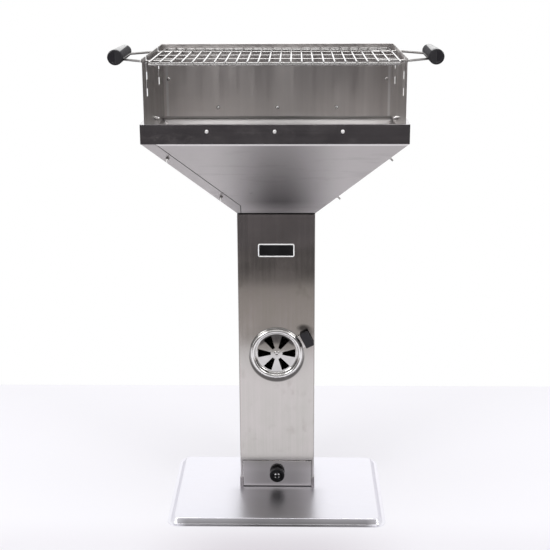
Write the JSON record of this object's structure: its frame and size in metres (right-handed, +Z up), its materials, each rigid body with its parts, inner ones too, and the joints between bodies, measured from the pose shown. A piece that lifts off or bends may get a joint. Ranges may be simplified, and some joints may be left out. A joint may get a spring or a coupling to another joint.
{
  "type": "pedestal charcoal grill",
  "caption": "Charcoal grill on a square steel pedestal: funnel firebox in a rim, lift-off wire grate with handles, wind walls, turning air vent and ash drawer over a pressed base plate.",
  "frame": {"origin": "on the floor, under the centre of the grill's bounding box", "axes": "+X to the cook's right, the front faces -Y, +Z up"},
  "size_m": [0.6946, 0.3872, 1.0096],
  "materials": {
    "mirror_steel": "polished",
    "column_steel": "satin",
    "funnel_steel": "satin",
    "rim_steel": "polished",
    "wall_steel": "satin",
    "chrome_wire": "polished",
    "charcoal_wire": "satin",
    "bright_trim": "polished",
    "zinc": "satin",
    "dark_clip": "satin",
    "black_field": "gloss",
    "black_plastic": "gloss"
  },
  "bodies": {
    "pedestal": {"base_plate": "mirror_steel", "base_bolts": "zinc", "base_nuts": "zinc", "column_shell": "column_steel", "column_back": "column_steel", "column_rivets": "zinc", "column_clips": "dark_clip", "name_plate_frame": "bright_trim", "name_plate_field": "black_field", "vent_rivet": "bright_trim", "runner_left": "column_steel", "runner_right": "column_steel", "funnel_front": "funnel_steel", "funnel_right": "funnel_steel", "funnel_back": "funnel_steel", "funnel_left": "funnel_steel", "seam_bolts": "zinc", "seam_nuts": "zinc", "neck_screws": "zinc", "neck_nuts": "zinc", "rim_front": "rim_steel", "rim_right": "rim_steel", "rim_back": "rim_steel", "rim_left": "rim_steel", "rim_bolts": "zinc", "rim_nuts": "zinc", "rim_wing_nuts": "zinc", "wall_back": "wall_steel", "wall_left": "wall_steel", "wall_left_front": "wall_steel", "wall_left_middle": "wall_steel", "wall_left_back": "wall_steel", "wall_right": "wall_steel", "wall_right_front": "wall_steel", "wall_right_middle": "wall_steel", "wall_right_back": "wall_steel", "flange_left": "wall_steel", "flange_right": "wall_steel", "corner_screws": "zinc", "corner_nuts": "zinc"},
    "cooking_rack": {"cooking_grate": "chrome_wire", "handle_left": "chrome_wire", "handle_right": "chrome_wire", "grip_left": "black_plastic", "grip_right": "black_plastic"},
    "charcoal_rack": {"charcoal_grate": "charcoal_wire"},
    "air_vent": {"vent_cap": "bright_trim", "vent_arm": "bright_trim", "vent_tab": "black_plastic"},
    "ash_drawer": {"drawer_tray": "column_steel", "drawer_knob": "black_plastic", "drawer_knob_screw": "zinc"}
  },
  "joints": [
    {"name": "cooking_rack_lift", "type": "slide", "parent": "pedestal", "child": "cooking_rack", "axis": [0, 0, 1], "range_m": [0, 0.08]},
    {"name": "charcoal_rack_lift", "type": "slide", "parent": "pedestal", "child": "charcoal_rack", "axis": [0, 0, 1], "range_m": [0, 0.17]},
    {"name": "air_vent_turn", "type": "hinge", "parent": "pedestal", "child": "air_vent", "pos_m": [0, -0.03905, 0.34], "axis": [0, -1, 0], "range_deg": [0, 30]},
    {"name": "ash_drawer_slide", "type": "slide", "parent": "pedestal", "child": "ash_drawer", "axis": [0, -1, 0], "range_m": [0, 0.09]}
  ]
}
